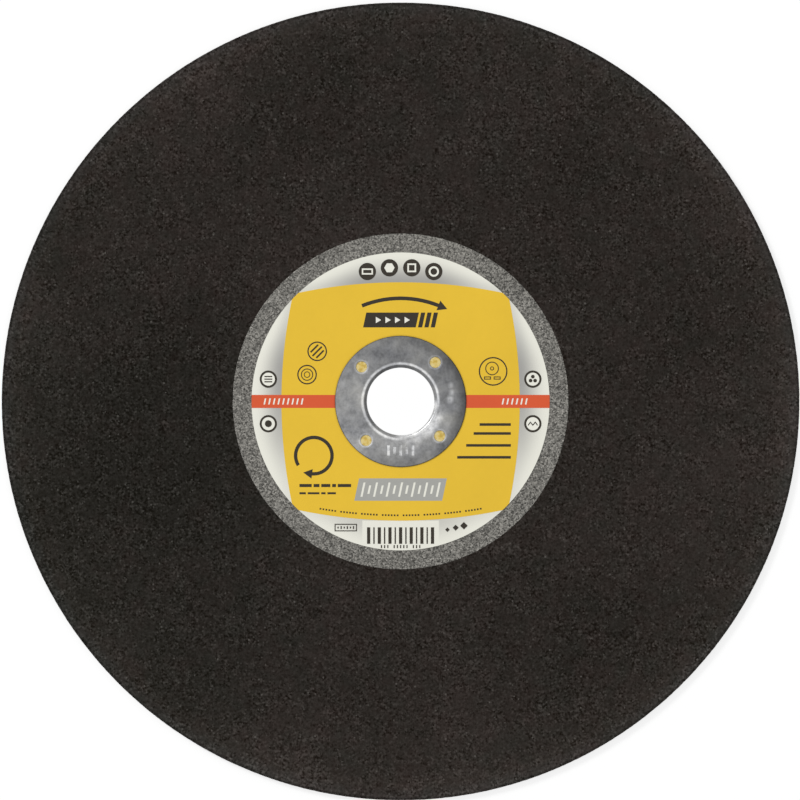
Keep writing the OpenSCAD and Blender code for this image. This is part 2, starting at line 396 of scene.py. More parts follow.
def bonded_grit(colours, surface):
    """Dark grains in brown-black resin, paler towards the rim, with slow green and ruddy patches."""
    material, g = new_graph("bonded_grit_finish")
    place = g.place()
    x, y, z = g.parts(place)
    radius = g.radius(place)
    left = g.ramp(g.facing(place, 200.0), 0.55, 1.0)

    # Grains and the finer grit between them, stronger in some clusters than in others
    distance, tint = g.cells(place, surface.grain)
    tone, _, sparkle = g.parts(tint)
    grain = g.fall(distance, 0.2, 0.75)
    fine = g.noise(place, surface.grain * 0.58, detail=2.0, roughness=0.6)
    clusters = g.noise(place, 0.0028, detail=2.0, roughness=0.75, seed=15.0)
    contrast = g.ramp(clusters, 0.36, 0.64, 0.44, 1.52)

    # Slow patches, from the width of a third of the wheel down to a few grains
    broad = g.noise(place, 0.09, detail=1.0, seed=8.0)
    slow = g.noise(place, 0.03, detail=2.0, seed=3.0)
    patch = g.noise(place, 0.007, detail=1.0, seed=7.0)
    stain = g.noise(place, 0.0026, detail=1.0, seed=12.0)

    step = 0.5 + contrast * (0.74 * (tone - 0.5) * (0.3 + 0.7 * grain) + 1.55 * (fine - 0.5))
    step = step + 0.42 * (slow - 0.5) + 0.46 * (broad - 0.5) + 0.12 * (patch - 0.5) - 0.07 * left
    level = (0.57 + 0.86 * g.clamp(step)) ** 2.2

    # Paler towards the rim and along its upper edge, with painted light a little stronger at the lower
    # right
    light = 1.0
    for band in GRIT_BANDS:
        light = light * g.ramp(radius, *band)
    pale_top_edge = g.ramp(radius, 0.1496, 0.1499) * g.ramp(z, 0.0020, 0.0024)
    light = light * (1.0 + 1.2 * pale_top_edge) * (1.0 + 0.26 * x - 0.44 * y)

    dark = tuple(colours.grit)
    grey = (sum(dark) / 3,) * 3
    share = 0.55 + 1.4 * (stain - 0.5) + 1.2 * (patch - 0.5)
    share = share + 1.3 * (broad - 0.5) + 0.8 * (slow - 0.5) - 0.42 * left
    hue = g.mix(g.clamp(share), tinted(dark, GREEN), tinted(dark, RUDDY))
    hue = hue * g.mix(g.ramp(radius, 0.144, 0.149), (1.0, 1.0, 1.0), RIM_TINT)
    colour = (hue * (0.45 + 0.55 * level) + grey * (0.45 * (level - 1.0))) * light
    glint = g.ramp(sparkle, 0.95, 1.0) * grain * contrast
    g.surface(
        colour=colour + GLINT * glint,
        roughness=g.ramp(tone, 0.0, 1.0, 0.95, 0.75),
        gloss=0.05,
        normal=g.bump((1.0 - distance) * 0.6 + fine * 0.4, 0.00008),
    )
    return material


def grey_grit(colours):
    """Grey disc of finer grains, with dark pits and pale specks."""
    material, g = new_graph("grey_grit_finish")
    place = g.place()
    distance, tint = g.cells(place, 0.00052)
    tone, _, pit = g.parts(tint)
    fine = g.noise(place, 0.00024, detail=1.0, seed=2.0)
    slow = g.noise(place, 0.006, seed=5.0)
    step = 0.5 + 0.67 * (tone - 0.5) + 1.0 * (fine - 0.5) + 0.15 * (slow - 0.5)
    step = step - 0.25 * g.ramp(pit, 0.86, 0.96) * g.fall(distance, 0.2, 0.6)
    level = (0.5 + 0.94 * g.clamp(step)) ** 2.2
    grey = tuple(colours.grey_grit)
    g.surface(
        colour=level * grey,
        roughness=0.85,
        gloss=0.12,
        normal=g.bump((1.0 - distance) * 0.6 + fine * 0.4, 0.00005),
    )
    return material


def paper_relief(g, place, depth=0.000012):
    """Faint fibres of paper that is glued on grit."""
    fibres = g.noise(place * (1.0, 2.2, 1.0), 0.00035, detail=3.0, roughness=0.6)
    pressed = g.noise(place, 0.0012, detail=1.0, seed=4.0)
    return g.bump(fibres * 0.45 + pressed * 0.55, depth), fibres, pressed


def label_paper(colours):
    """Off-white paper with a soft grey shade beside the yellow field."""
    material, g = new_graph("label_paper_finish")
    place = g.place()
    x, y, _ = g.parts(place)

    # How far a point lies outside the yellow field, whose sides are four arcs
    sides = []
    for along, across in ((abs(x), y), (abs(y), x)):
        out = along + FIELD_ARC_X * MM
        sides.append((out * out + across * across) ** 0.5 - FIELD_ARC_R * MM)
    off = g.larger(sides[0], sides[1])

    # The shade is widest and darkest at the middle of a side and in the label's upper half
    middle = g.smaller(abs(x), abs(y))
    reach = g.ramp(middle, 0.010, 0.034, 1.0, 0.4)
    shade = g.fall(off / reach, 0.0002, 0.0104) * g.ramp(off, -0.0012, -0.0008)
    shade = shade * g.ramp(middle, 0.012, 0.036, 1.0, 0.3) * g.ramp(y, -0.03, 0.012, 0.5, 1.0)
    bar_box = g.fall(abs(x), 0.0142, 0.0146) * g.fall(y, -0.0449, -0.0446)
    shade = shade * (1.0 - bar_box)

    normal, fibres, _ = paper_relief(g, place)
    paper = tuple(colours.paper)
    colour = g.mix(g.clamp(shade), paper, tinted(paper, PAPER_SHADE))
    colour = colour * (0.985 + 0.05 * (fibres - 0.5))
    g.surface(colour=colour, roughness=0.62, gloss=0.2, normal=normal)
    return material


def printed_ink(name, colour, sheen=0.5, fade=0.06, seed=0.0):
    """Ink on the label's paper, a little uneven where the paper took it up, dusty in the holes, with
    painted shade there and round the ring.
    """
    material, g = new_graph(name + "_finish")
    place = g.place()
    normal, fibres, pressed = paper_relief(g, place, 0.000009)
    uneven = g.noise(place, 0.012, detail=2.0, seed=seed)
    level = 1.0 + fade * (uneven - 0.5) * 2.0 + 0.06 * (fibres - 0.5) + 0.04 * (pressed - 0.5)

    # Dust in the ring's holes, a patchy darkening there that is partly grime and partly painted shade,
    # and a thin painted shadow line round the ring
    radius = g.radius(place)
    inside = g.fall(radius, 0.0215, 0.0235)
    dirt_and_shade = g.noise(place, 0.0006, detail=1.0, seed=seed + 20.0)
    dust = g.ramp(g.hole_distance(place), 0.0004, 0.002, 0.7, 1.1) * inside
    dust = dust * g.ramp(dirt_and_shade, 0.35, 0.65, 0.5, 1.5)
    level = level * (1.0 - 0.2 * inside * g.fall(dirt_and_shade, 0.3, 0.5))
    level = level * g.ramp(radius, RING_OUTER_R * MM, 0.0254, 0.8, 1.0)
    g.surface(
        colour=g.mix(0.3 * dust, level * tuple(colour), DUST),
        roughness=g.ramp(fibres, 0.3, 0.7, sheen - 0.06, sheen + 0.06),
        gloss=0.25,
        normal=normal,
    )
    return material


def ring_steel(colours):
    """Pressed sheet: smudged, with painted shade towards the upper right, below and inside the bore, and
    painted highlights at its bend, mouths and strokes.
    """
    material, g = new_graph("ring_steel_finish")
    place = g.place()
    x, y, z = g.parts(place)
    radius = g.radius(place)
    smudge = g.noise(place, 0.0011, detail=3.0, roughness=0.65, seed=1.0)
    cloud = g.noise(place, 0.004, detail=2.0, seed=6.0)
    scratch = g.noise(place * (1.0, 0.06, 1.0), 0.0002, detail=2.0, seed=9.0)

    # Sides of the ring, the zone of the bend, and the part above the rolled lip
    upper = 0.5 + 0.5 * g.facing(place, 60.0)
    right = 0.5 + 0.5 * g.facing(place, 10.0)
    side = g.facing(place, -48.0)
    corner = g.facing(place, -36.0)
    lower = g.facing(place, 262.0)
    bend = g.fall(radius, 0.0143, 0.0151)
    above = g.ramp(z, 0.0006, 0.0012)

    # Painted highlights: bend, a soft patch at the lower right, hole mouths, strokes and three spots
    bend_highlight = g.larger(g.ramp(radius, 0.0136, 0.0141), g.ramp(side, 0.55, 0.8) * above)
    bend_highlight = bend_highlight * bend * g.ramp(side, 0.6, 0.95, 1.0, 0.6)
    glow_highlight = g.ramp(side, 0.6, 1.0) * g.fall(radius, 0.0134, 0.0192)
    patch = g.ramp(corner, 0.9, 1.0) * g.ramp(radius, 0.0138, 0.0143) * g.fall(radius, 0.0152, 0.0178)
    mouth = g.fall(g.hole_distance(place), 0.0025, 0.0030)
    strokes = stamped_strokes(g, x, y) * g.ramp(smudge, 0.35, 0.6, 0.4, 0.95)
    painted_highlight = g.larger(mouth * 0.5, strokes)
    painted_highlight = g.larger(g.larger(painted_highlight, bend_highlight * 1.15), glow_highlight + 0.8 * patch)
    for along, up, wide, share in STEEL_HIGHLIGHTS:
        spot_highlight = g.node(
            "ShaderNodeVectorMath", {"operation": "DISTANCE"},
            {0: place * (1.0, 0.8, 0.0), 1: Vector((along * MM, up * 0.8 * MM, 0.0))}, "Value",
        )
        spot_highlight = g.fall(spot_highlight + 0.0008 * (smudge - 0.5), 0.0, wide * MM)
        painted_highlight = g.larger(painted_highlight, share * spot_highlight)
    # Painted highlight along the bore's edge at the lower right, where the steel is also less rough
    edge = g.ramp(side, 0.6, 0.9) * g.fall(radius, 0.0131, 0.0136) * above

    # Painted shade: darker towards the upper right, on the outer flange at the right and below, and on
    # the bend where it turns from the lamp
    right_shade = g.ramp(radius + 0.004 * (cloud - 0.5), 0.0195, 0.0245) * right * right
    level = 0.94 + 1.3 * (smudge - 0.5) + 1.2 * (cloud - 0.5) + 0.12 * (scratch - 0.5)
    level = level * (1.0 - 0.28 * upper * (1.0 - bend_highlight)) * (1.0 - 0.6 * right_shade)
    level = level * (1.0 - 0.24 * g.ramp(side, 0.6, 0.95) * bend)
    level = level * (1.0 - 0.38 * g.ramp(corner, 0.85, 0.97) * g.fall(radius, 0.0134, 0.0140))
    level = level * (1.0 - 0.22 * g.ramp(lower, 0.8, 0.99) * g.ramp(radius, 0.0192, 0.0215))
    # Painted shade inside the bore at the upper left, and a painted dark band along the flange's outer
    # edge
    shaded = g.clamp(0.5 + 0.75 * g.facing(place, 165.0)) * above
    wall_and_edge_shade = 1.0 - 0.42 * shaded * g.fall(radius, 0.0134, 0.0141)
    wall_and_edge_shade = wall_and_edge_shade * g.ramp(radius, 0.02425, 0.02455, 1.0, 0.4)

    bright = g.smaller(level * wall_and_edge_shade * (1.0 + 0.85 * painted_highlight) * (1.0 + 0.7 * edge), 2.45)
    tint = g.mix(g.clamp(0.5 + 2.2 * (cloud - 0.5)), COOL_STEEL, WARM_STEEL)
    g.surface(
        colour=tint * bright * tuple(colours.steel),
        metallic=1.0,
        roughness=g.clamp(0.64 + 0.3 * (smudge - 0.5) - 0.06 * painted_highlight - 0.3 * edge),
        normal=g.bump(smudge * 0.6 + scratch * 0.4, 0.000012),
    )
    return material


def stamped_strokes(g, x, y):
    """Mask of the stamped strokes on the flange, long and short in turn."""
    pitch, half = STAMP_PITCH * MM, STAMP_HALF_W * MM
    fold = g.node("ShaderNodeMath", {"operation": "PINGPONG"}, {0: x, 1: pitch / 2})
    wide = g.fall(fold, half, half + 0.00012)
    turn = g.node("ShaderNodeMath", {"operation": "PINGPONG"}, {0: x, 1: pitch})
    reach = STAMP_LONG * MM - (STAMP_LONG - STAMP_SHORT) * MM * g.ramp(turn, pitch * 0.45, pitch * 0.55)
    tall = g.fall(abs(y - STAMP_Y * MM) - reach, 0.0, 0.00025)
    return wide * tall * g.fall(abs(x), pitch * 2.45, pitch * 2.5)


def mesh_piece(name, points, faces, material, replaced=None, sharp=35.0):
    """Makes a mesh from points in millimetres, smooths it up to an angle, and puts it on the wheel."""
    mesh = bpy.data.meshes.new(name)
    mesh.from_pydata([tuple(c * MM for c in p) for p in points], [], faces)
    mesh.validate()
    mesh.polygons.foreach_set("use_smooth", [True] * len(mesh.polygons))
    mesh.set_sharp_from_angle(angle=math.radians(sharp))
    mesh.materials.append(material)
    mesh.update()
    piece = bpy.data.objects.new(name, mesh)
    bpy.context.scene.collection.objects.link(piece)
    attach(piece, BODY)
    if replaced:
        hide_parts(replaced)
    return piece


class Shell:
    """Points and faces of a body that is turned round the wheel's axis, ring by ring."""

    def __init__(self):
        self.points = []
        self.faces = []

    def ring(self, count, radius, height, shape=None):
        """Adds a ring of points. shape moves each of them, given its angle, radius and height."""
        start = len(self.points)
        for i in range(count):
            angle = 2 * math.pi * i / count
            r, z = (radius, height) if shape is None else shape(angle, radius, height)
            self.points.append((r * math.cos(angle), r * math.sin(angle), z))
        return start, count

    def stitch(self, first, second):
        """Joins two rings with faces. Their counts are equal, or one is twice the other."""
        (a, n), (b, m) = first, second
        if n == m:
            for i in range(n):
                j = (i + 1) % n
                self.faces.append((a + i, a + j, b + j, b + i))
        elif m == 2 * n:
            for i in range(n):
                j = (i + 1) % n
                low, mid, high = b + 2 * i, b + 2 * i + 1, b + (2 * i + 2) % m
                self.faces.append((a + i, mid, low))
                self.faces.append((a + i, a + j, mid))
                self.faces.append((a + j, high, mid))
        elif n == 2 * m:
            for i in range(m):
                j = (i + 1) % m
                low, mid, high = a + 2 * i, a + 2 * i + 1, a + (2 * i + 2) % n
                self.faces.append((low, mid, b + i))
                self.faces.append((mid, b + j, b + i))
                self.faces.append((mid, high, b + j))
        else:
            raise ValueError(f"rings of {n} and {m} points can't be joined")

    def chain(self, rings, closed=False):
        for first, second in zip(rings, rings[1:]):
            self.stitch(first, second)
        if closed:
            self.stitch(rings[-1], rings[0])


def polar(radius, angle):
    """The point at this radius and angle round the wheel's axis."""
    return radius * math.cos(angle), radius * math.sin(angle)


def wave(x, y, size, seed):
    """Soft noise from -1 to 1 on the plane, with blobs of this size in millimetres."""
    return noise.noise(Vector((x / size, y / size, seed)))


def hub_edge(angle):
    """How far the grey disc's edge runs in or out at this angle, in millimetres."""
    x, y = polar(HUB_R, angle)
    return 0.09 * wave(x, y, 1.1, 11.0) + 0.05 * wave(x, y, 0.5, 12.0)


def build_grit_disc(surface, material):
    """The bonded disc: waved faces, a recess for the grey disc, and a rim broken at its grains."""
    shell = Shell()
    n = surface.rim_segments
    relief = surface.rim_relief / MM
    depth = surface.face_wave / MM

    def face(angle, radius, height):
        x, y = polar(radius, angle)
        sink = 0.5 + 0.35 * wave(x, y, 22.0, 1.0) + 0.15 * wave(x, y, 6.0, 2.0)
        return radius, height - depth * sink * (1 if height > WHEEL_T / 2 else -1)

    def rim(angle, radius, height):
        x, y = polar(radius, angle)
        coarse = noise.noise(Vector((x / 0.9, y / 0.9, height / 0.9 + 5.0)))
        fine = noise.noise(Vector((x / 0.45, y / 0.45, height / 0.45 + 9.0)))
        deep = max(0.0, min(1.0, 0.42 + 0.5 * coarse + 0.3 * fine))
        share = min(1.0, max(0.0, (radius - 148.4) / 1.0))
        middle = WHEEL_T / 2
        up = (height - middle) / middle
        lowered = height - up * relief * 0.45 * deep * share * (abs(up) > 0.7)
        return radius - relief * deep * share, lowered

    def recess(angle, radius, height):
        return radius + hub_edge(angle), height

    rings = [
        shell.ring(n // 8, SEAT_R, SEAT_TOP),
        shell.ring(n // 8, SEAT_R, LIP_CHAMFER),
        shell.ring(n // 8, SEAT_R + LIP_CHAMFER, 0.0),
        shell.ring(n // 8, 30.0, 0.0),
        shell.ring(n // 8, 60.0, 0.0),
    ]
    rings += [shell.ring(n // 4, r, 0.0, face) for r in np.linspace(66.0, 144.0, 14)]
    rings += [shell.ring(n // 2, 147.0, 0.0, face)]
    rings += [shell.ring(n, r, 0.0, rim) for r in (148.2, 148.7, 149.2)]
    start = WHEEL_R - RIM_ROUND
    for turn in range(0, 91, 30):
        a = math.radians(turn)
        rings.append(shell.ring(n, start + RIM_ROUND * math.sin(a), RIM_ROUND * (1 - math.cos(a)), rim))
    for z in np.linspace(RIM_ROUND, WHEEL_T - RIM_ROUND, 6)[1:-1]:
        rings.append(shell.ring(n, WHEEL_R, z, rim))
    for turn in range(90, -1, -30):
        a = math.radians(turn)
        height = WHEEL_T - RIM_ROUND * (1 - math.cos(a))
        rings.append(shell.ring(n, start + RIM_ROUND * math.sin(a), height, rim))
    rings += [shell.ring(n, r, WHEEL_T, rim) for r in (149.2, 148.7, 148.2)]
    rings += [shell.ring(n // 2, 147.0, WHEEL_T, face)]
    rings += [shell.ring(n // 4, r, WHEEL_T, face) for r in np.linspace(145.0, 67.0, 40)]
    rings += [
        shell.ring(n // 2, 64.5, WHEEL_T, face),
        shell.ring(n // 2, HUB_R + SEAT_GAP + 0.35, WHEEL_T, recess),
        shell.ring(n // 2, HUB_R + SEAT_GAP, WHEEL_T - 0.03, recess),
        shell.ring(n // 2, HUB_R + SEAT_GAP, RECESS_Z, recess),
        shell.ring(n // 4, 61.5, RECESS_Z),
        shell.ring(n // 8, 40.0, RECESS_Z),
        shell.ring(n // 8, SEAT_R + RECESS_Z - SEAT_TOP, RECESS_Z),
    ]
    shell.chain(rings, closed=True)
    mesh_piece("grit_disc", shell.points, shell.faces, material, "abrasive_disc")


def build_grey_disc(surface, material):
    """The grey hub disc, rough where it shows outside the label."""
    shell = Shell()
    n = surface.rim_segments // 2

    def rough(angle, radius, height):
        x, y = polar(radius, angle)
        share = min(1.0, max(0.0, (radius - LABEL_R - 0.1) / 0.5))
        sink = 0.5 + 0.45 * wave(x, y, 0.85, 21.0) + 0.25 * wave(x, y, 0.4, 22.0)
        out = hub_edge(angle) if radius > HUB_R - 0.3 else 0.0
        return radius + out, height - 0.05 * share * max(0.0, sink)

    rings = [
        shell.ring(n // 8, LAYER_HOLE_R, RECESS_Z),
        shell.ring(n // 8, LAYER_HOLE_R, WHEEL_T),
        shell.ring(n // 8, 40.0, WHEEL_T),
        shell.ring(n // 4, 50.0, WHEEL_T),
        shell.ring(n // 2, 54.0, WHEEL_T),
        shell.ring(n, 55.6, WHEEL_T),
    ]
    rings += [shell.ring(n, r, WHEEL_T, rough) for r in np.linspace(56.0, HUB_R - 0.08, 19)]
    rings += [
        shell.ring(n, HUB_R, WHEEL_T - 0.06, rough),
        shell.ring(n, HUB_R, RECESS_Z, lambda a, r, z: (r + hub_edge(a), z)),
        shell.ring(n // 2, 60.0, RECESS_Z),
        shell.ring(n // 4, 50.0, RECESS_Z),
        shell.ring(n // 8, 40.0, RECESS_Z),
    ]
    shell.chain(rings[::-1], closed=True)
    mesh_piece("grey_hub_disc", shell.points, shell.faces, material, "hub_reinforcement")


def hole_centres():
    """Middles of the punched holes."""
    step = 360 / HOLE_COUNT
    angles = [math.radians(HOLE_START + i * step) for i in range(HOLE_COUNT)]
    return [polar(HOLE_CIRCLE_R, a) for a in angles]


def stamp_depth(x, y):
    """Depth of the five stamped strokes at a point of the flange, in millimetres."""
    if abs(x) > STAMP_REACH:
        return 0.0
    place = round(x / STAMP_PITCH)
    over = abs(y - STAMP_Y) - (STAMP_SHORT if place % 2 else STAMP_LONG)
    off = math.hypot(x - place * STAMP_PITCH, max(0.0, over))
    return STAMP_DEPTH * max(0.0, min(1.0, (STAMP_HALF_W + 0.18 - off) / 0.2))


def flange_top(x, y):
    """Height of the flange's upper face, in millimetres: pressed uneven, lower at both edges."""
    radius = math.hypot(x, y)
    hold = min(1.0, (RING_OUTER_R - RING_EDGE - radius) / 1.5)
    dip = (0.035 + 0.028 * wave(x, y, 5.0, 31.0) + 0.01 * wave(x, y, 2.1, 32.0)) * hold
    inner = max(0.0, (16.6 - radius) / 2.2)
    outer = max(0.0, (radius - 22.0) / 2.45)
    return RING_TOP - max(0.0, dip) - 0.045 * inner * inner - 0.05 * outer * outer - stamp_depth(x, y)


def circle_points(centre, radius, count):
    """Points evenly spaced on a circle."""
    angles = [2 * math.pi * i / count for i in range(count)]
    return [
        (centre[0] + radius * math.cos(a), centre[1] + radius * math.sin(a))
        for a in angles
    ]


def pierced_sheet(inner_r, outer_r, hole_r, count, hole_count, fill):
    """Triangles of a flat ring with the punched holes left out."""
    loops = [circle_points((0, 0), inner_r, count), circle_points((0, 0), outer_r, count)]
    loops += [circle_points(c, hole_r, hole_count) for c in hole_centres()]
    places, edges = [], []
    for loop in loops:
        start = len(places)
        places += loop
        edges += [(start + i, start + (i + 1) % len(loop)) for i in range(len(loop))]
    places += fill
    found = geometry.delaunay_2d_cdt([Vector(p) for p in places], edges, [], 0, 1e-6)
    points, triangles = found[0], found[2]
    kept = []
    for t in triangles:
        x = sum(points[i][0] for i in t) / 3
        y = sum(points[i][1] for i in t) / 3
        if math.hypot(x, y) < inner_r:
            continue
        if any(math.hypot(x - cx, y - cy) < hole_r * 0.998 for cx, cy in hole_centres()):
            continue
        kept.append(tuple(t))
    return [tuple(p) for p in points], kept


def build_steel_ring(surface, material):
    """The pressed ring: flange with rolled hole mouths and stamped strokes, bend, collar and lip."""
    n = surface.ring_segments
    hole_n = 48
    bend_x = RING_BORE_R + RING_BEND
    flat_r = RING_OUTER_R - RING_EDGE
    start_r = RING_BORE_R + BEND_REACH
    inner_r = start_r + 1.5
    fill = []
    for r in np.arange(inner_r + 0.3, flat_r - 0.2, 0.4):
        count = int(round(2 * math.pi * r / 0.4))
        for i in range(count):
            a = 2 * math.pi * (i + 0.37 * r) / count
            x, y = r * math.cos(a), r * math.sin(a)
            near = any(math.hypot(x - cx, y - cy) < MOUTH_R + 0.25 for cx, cy in hole_centres())
            stamped = abs(x) < STAMP_REACH and abs(y - STAMP_Y) < STAMP_ROOM
            if not near and not stamped:
                fill.append((x, y))
    for x in np.arange(-5.16, 5.17, 0.12):
        for y in np.arange(STAMP_Y - 2.2, STAMP_Y + 2.21, 0.2):
            if inner_r + 0.08 < math.hypot(x, y) < flat_r - 0.08:
                fill.append((float(x), float(y)))

    points, faces = [], []

    def add(new_points, new_faces):
        start = len(points)
        points.extend(new_points)
        faces.extend(tuple(i + start for i in f) for f in new_faces)

    top, top_faces = pierced_sheet(inner_r, flat_r, MOUTH_R, n, hole_n, fill)
    add([(x, y, flange_top(x, y)) for x, y in top], top_faces)
    base, base_faces = pierced_sheet(bend_x, RING_OUTER_R, HOLE_R, n, hole_n, [])
    add([(x, y, INK_TOP) for x, y in base], [f[::-1] for f in base_faces])

    # Outer edge, bend, collar and rolled lip, as rings from the flange's top round to its bottom
    def edge(angle, radius, height):
        top = flange_top(*polar(flat_r, angle))
        share = (top - INK_TOP) / (RING_TOP - INK_TOP)
        return radius, INK_TOP + (height - INK_TOP) * share

    def bent(angle, radius, height):
        """Lowers the bend with the flange's uneven top, less and less towards the collar."""
        sink = RING_TOP - flange_top(start_r * math.cos(angle), start_r * math.sin(angle))
        return radius, height - sink * ((radius - RING_BORE_R) / BEND_REACH) ** 1.5

    shell = Shell()
    outer = [shell.ring(n, flat_r, RING_TOP, edge)]
    for turn in (22.5, 45, 67.5, 90):
        a = math.radians(turn)
        height = RING_TOP - RING_EDGE * (1 - math.cos(a))
        outer.append(shell.ring(n, flat_r + RING_EDGE * math.sin(a), height, edge))
    outer.append(shell.ring(n, RING_OUTER_R, INK_TOP))
    shell.chain(outer)
    bend_z = RING_TOP - RING_BEND
    def level(angle, radius, height):
        return radius, flange_top(radius * math.cos(angle), radius * math.sin(angle))

    inner = [shell.ring(n, r, RING_TOP, level) for r in np.linspace(inner_r, start_r, 8)[:-1]]
    for turn in np.linspace(0, 90, 19):
        a = math.radians(turn)
        height = bend_z + RING_BEND * math.cos(a)
        inner.append(shell.ring(n, start_r - BEND_REACH * math.sin(a), height, bent))
    lip_x = RING_BORE_R + RING_LIP
    for turn in np.linspace(0, 90, 7):
        a = math.radians(turn)
        inner.append(shell.ring(n, lip_x - RING_LIP * math.cos(a), RING_LIP * (1 - math.sin(a))))
    back = RING_LIP - RING_SHEET
    inner.append(shell.ring(n, lip_x, RING_SHEET))
    for turn in np.linspace(90, 0, 5)[1:]:
        a = math.radians(turn)
        inner.append(shell.ring(n, lip_x - back * math.cos(a), RING_LIP - back * math.sin(a)))
    inner.append(shell.ring(n, RING_BORE_R + RING_SHEET, bend_z))
    under = RING_BEND - RING_SHEET
    for turn in np.linspace(90, 0, 7)[1:]:
        a = math.radians(turn)
        inner.append(shell.ring(n, bend_x - under * math.sin(a), bend_z + under * math.cos(a)))
    shell.chain(inner)
    add(shell.points, shell.faces)

    for cx, cy in hole_centres():
        rows = []
        for turn in (0, 22.5, 45, 67.5, 90):
            a = math.radians(turn)
            r = MOUTH_R - (MOUTH_R - HOLE_R) * math.sin(a)
            drop = MOUTH_DEPTH * (1 - math.cos(a))
            circle = circle_points((cx, cy), r, hole_n)
            rows.append([(x, y, flange_top(x, y) - drop) for x, y in circle])
        rows.append([(x, y, INK_TOP) for x, y in circle_points((cx, cy), HOLE_R, hole_n)])
        walls = []
        for k in range(len(rows) - 1):
            for i in range(hole_n):
                j = (i + 1) % hole_n
                low, high = k * hole_n, (k + 1) * hole_n
                walls.append((low + i, low + j, high + j, high + i))
        add([p for row in rows for p in row], walls)

    piece = mesh_piece("steel_ring", points, faces, material, "centre_bushing", sharp=40.0)
    weld(piece)


def weld(piece):
    """Joins the points of a mesh that lie on each other, and turns its faces outwards."""
    made = bmesh.new()
    made.from_mesh(piece.data)
    bmesh.ops.remove_doubles(made, verts=made.verts, dist=0.000002)
    bmesh.ops.recalc_face_normals(made, faces=made.faces)
    made.to_mesh(piece.data)
    made.free()
    piece.data.set_sharp_from_angle(angle=math.radians(40))
    piece.data.update()


def turned(loop, angle, centre):
    """A loop of points turned by an angle in degrees and moved to a centre."""
    c, s = math.cos(math.radians(angle)), math.sin(math.radians(angle))
    return [(centre[0] + c * x - s * y, centre[1] + s * x + c * y) for x, y in loop]


def bar(width, height, lean=0.0, at=(0.0, 0.0)):
    """A rectangle round a point, leaning to the right."""
    w, h, push = width / 2, height / 2, height / 2 * lean
    return [
        (at[0] - w - push, at[1] - h), (at[0] + w - push, at[1] - h),
        (at[0] + w + push, at[1] + h), (at[0] - w + push, at[1] + h),
    ]


def round_loop(radius, at=(0.0, 0.0), count=40):
    """A round outline."""
    return circle_points(at, radius, count)


def profile_shapes():
    """Cross-sections of stock that such a wheel cuts, as loops round (0, 0): outline, then openings."""
    ridges = [(-2.0 + i, 0.62 if i % 2 else -0.62) for i in range(5)]
    rod_places = ((-0.95, -0.6), (0.95, -0.6), (0.0, 1.05))
    wavy = [(x, y - 0.33) for x, y in ridges] + [(x, y + 0.33) for x, y in reversed(ridges)]
    return {
        "round_tube": [[round_loop(1.95), round_loop(1.25)]],
        "square_tube": [[bar(3.3, 3.3), bar(2.1, 2.1)]],
        "hexagon_bar": [[round_loop(1.95, count=6)]],
        "flat_tube": [[bar(4.2, 2.3), bar(3.1, 1.2)]],
        "wavy_sheet": [[wavy]],
        "rods": [[round_loop(0.78, place, 24)] for place in rod_places],
        "sheets": [[bar(3.3, 0.5, at=(0.0, y))] for y in (-1.1, 0.0, 1.1)],
        "round_bar": [[round_loop(1.45)]],
    }


def moved(shapes, centre):
    """Shapes, moved to a place."""
    return [[[(x + centre[0], y + centre[1]) for x, y in loop] for loop in shape] for shape in shapes]


def build_plates(name, shapes, low, high, material):
    """Thin flat plates from 2D shapes, each an outline followed by its openings."""
    points, faces = [], []
    for shape in shapes:
        start = len(points)
        flat = [Vector((x, y, 0.0)) for loop in shape for x, y in loop]
        count = len(flat)
        points += [(p.x, p.y, high) for p in flat] + [(p.x, p.y, low) for p in flat]
        loops = [[Vector((x, y, 0.0)) for x, y in loop] for loop in shape]
        for t in geometry.tessellate_polygon(loops):
            a, b, c = (flat[i] for i in t)
            if (b - a).cross(c - a).z < 0:
                t = t[::-1]
            faces.append(tuple(start + i for i in t))
            faces.append(tuple(start + count + i for i in t[::-1]))
        first = start
        for loop in shape:
            size = len(loop)
            for i in range(size):
                j = (i + 1) % size
                faces.append((first + i, first + count + i, first + count + j, first + j))
            first += size
    piece = mesh_piece(name, points, faces, material, sharp=30.0)
    weld(piece)
    return piece


def mark_places():
    """Centres of the round marks on their circle."""
    angles = [90 + i * MARK_STEP for i in (-1.5, -0.5, 0.5, 1.5)]
    angles += [side + i * MARK_STEP for side in (0, 180) for i in (-1, 1)]
    return [polar(MARK_RING_R, math.radians(a)) for a in angles]


def sign_place(angle):
    """Centre of an outlined sign on its circle."""
    return polar(SIGN_RING_R, math.radians(angle))


def light_print():
    """Pale motifs: cross-sections in the round marks, strokes on the red band and in the dark box."""
    profiles = profile_shapes()
    places = mark_places()
    shapes = []
    for name, place in zip(("round_tube", "square_tube", "hexagon_bar", "flat_tube"), places[:4]):
        shapes += moved(profiles[name], place)
    for place in places[4:]:
        shapes.append([round_loop(2.45, place, 56)])
    for i in range(9):
        shapes.append([bar(0.55, 2.3, SLANT, (-51.0 + 1.75 * i, 0.0))])
    for i in range(6):
        shapes.append([bar(0.55, 2.3, SLANT, (38.5 + 1.75 * i, 0.0))])
    for i in range(4):
        x = -8.4 + 3.6 * i
        shapes.append([[(x - 0.9, 29.41), (x + 1.1, 30.61), (x - 0.9, 31.81)]])
    return shapes


